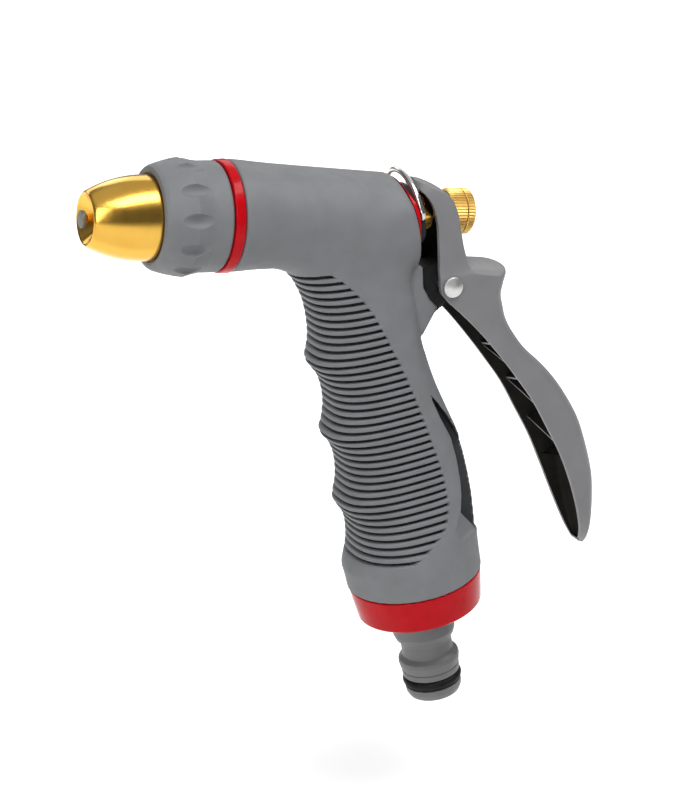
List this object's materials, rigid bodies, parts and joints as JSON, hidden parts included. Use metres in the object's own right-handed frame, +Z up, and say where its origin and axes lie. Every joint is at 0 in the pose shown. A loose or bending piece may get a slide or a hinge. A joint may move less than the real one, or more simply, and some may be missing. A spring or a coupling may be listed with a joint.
{
  "type": "hose spray nozzle",
  "caption": "Pistol-grip hose spray nozzle with a ribbed rubber grip, rear squeeze trigger with wire lock, twist collar, brass tip and quick-connect spigot.",
  "frame": {"origin": "centre of the spigot's end face, where the hose coupling seats", "axes": "+Z up the body, -X the way the spray leaves, +Y across the grip; the handle leans 15.5 degrees, foot to the rear"},
  "size_m": [0.1573, 0.038, 0.1578],
  "materials": {
    "cast_black": "satin",
    "rubber_grey": "matte",
    "plastic_grey": "satin",
    "gloss_red": "gloss",
    "brass": "polished",
    "steel": "polished",
    "seal_black": "satin"
  },
  "bodies": {
    "frame_body": {"body_core": "cast_black", "grip_cover": "rubber_grey", "front_trim_ring": "gloss_red", "rear_trim_ring": "gloss_red", "base_ring": "gloss_red", "stem_guide": "brass", "return_spring": "steel", "gland_seal": "seal_black", "gland_nut": "brass", "pivot_pin": "steel", "pin_clip": "steel", "hose_connector": "plastic_grey", "connector_oring": "seal_black", "inlet_washer": "seal_black"},
    "collar_body": {"adjust_collar": "rubber_grey"},
    "tip_body": {"nozzle_tip": "brass", "tip_oring": "seal_black"},
    "stem_body": {"valve_stem": "steel", "valve_washer": "seal_black"},
    "flow_nut_body": {"flow_nut": "brass"},
    "lock_nut_body": {"lock_nut": "brass"},
    "trigger_body": {"trigger": "plastic_grey"},
    "wire_body": {"lock_wire": "steel"}
  },
  "joints": [
    {"name": "trigger_pull", "type": "hinge", "parent": "frame_body", "child": "trigger_body", "pos_m": [-0.01152, 0, 0.12209], "axis": [0, 1, 0], "range_deg": [0, 16.5], "stiffness_Nm_per_rad": 1, "springref_deg": -14.32},
    {"name": "stem_slide", "type": "slide", "parent": "frame_body", "child": "stem_body", "axis": [1, 0, 0], "range_m": [0, 0.0069], "deforming": ["return_spring"]},
    {"name": "collar_twist", "type": "hinge", "parent": "frame_body", "child": "collar_body", "pos_m": [-0.0876, 0, 0.14069], "axis": [-1, 0, 0], "range_deg": [0, 360]},
    {"name": "tip_feed", "type": "slide", "parent": "collar_body", "child": "tip_body", "axis": [-1, 0, 0], "range_m": [0, 0.0031]},
    {"name": "flow_nut_turn", "type": "hinge", "parent": "stem_body", "child": "flow_nut_body", "pos_m": [-0.009, 0, 0.14069], "axis": [1, 0, 0], "continuous": true},
    {"name": "lock_nut_turn", "type": "hinge", "parent": "stem_body", "child": "lock_nut_body", "pos_m": [-0.0056, 0, 0.14069], "axis": [1, 0, 0], "continuous": true},
    {"name": "lock_wire_swing", "type": "hinge", "parent": "frame_body", "child": "wire_body", "pos_m": [-0.02282, 0, 0.14139], "axis": [0, 1, 0], "range_deg": [0, 45]}
  ],
  "couplings": [
    {"joint": "stem_slide", "follows": "trigger_pull", "m_per_rad": 0.0235},
    {"joint": "tip_feed", "follows": "collar_twist", "m_per_rad": 0.00047746}
  ]
}
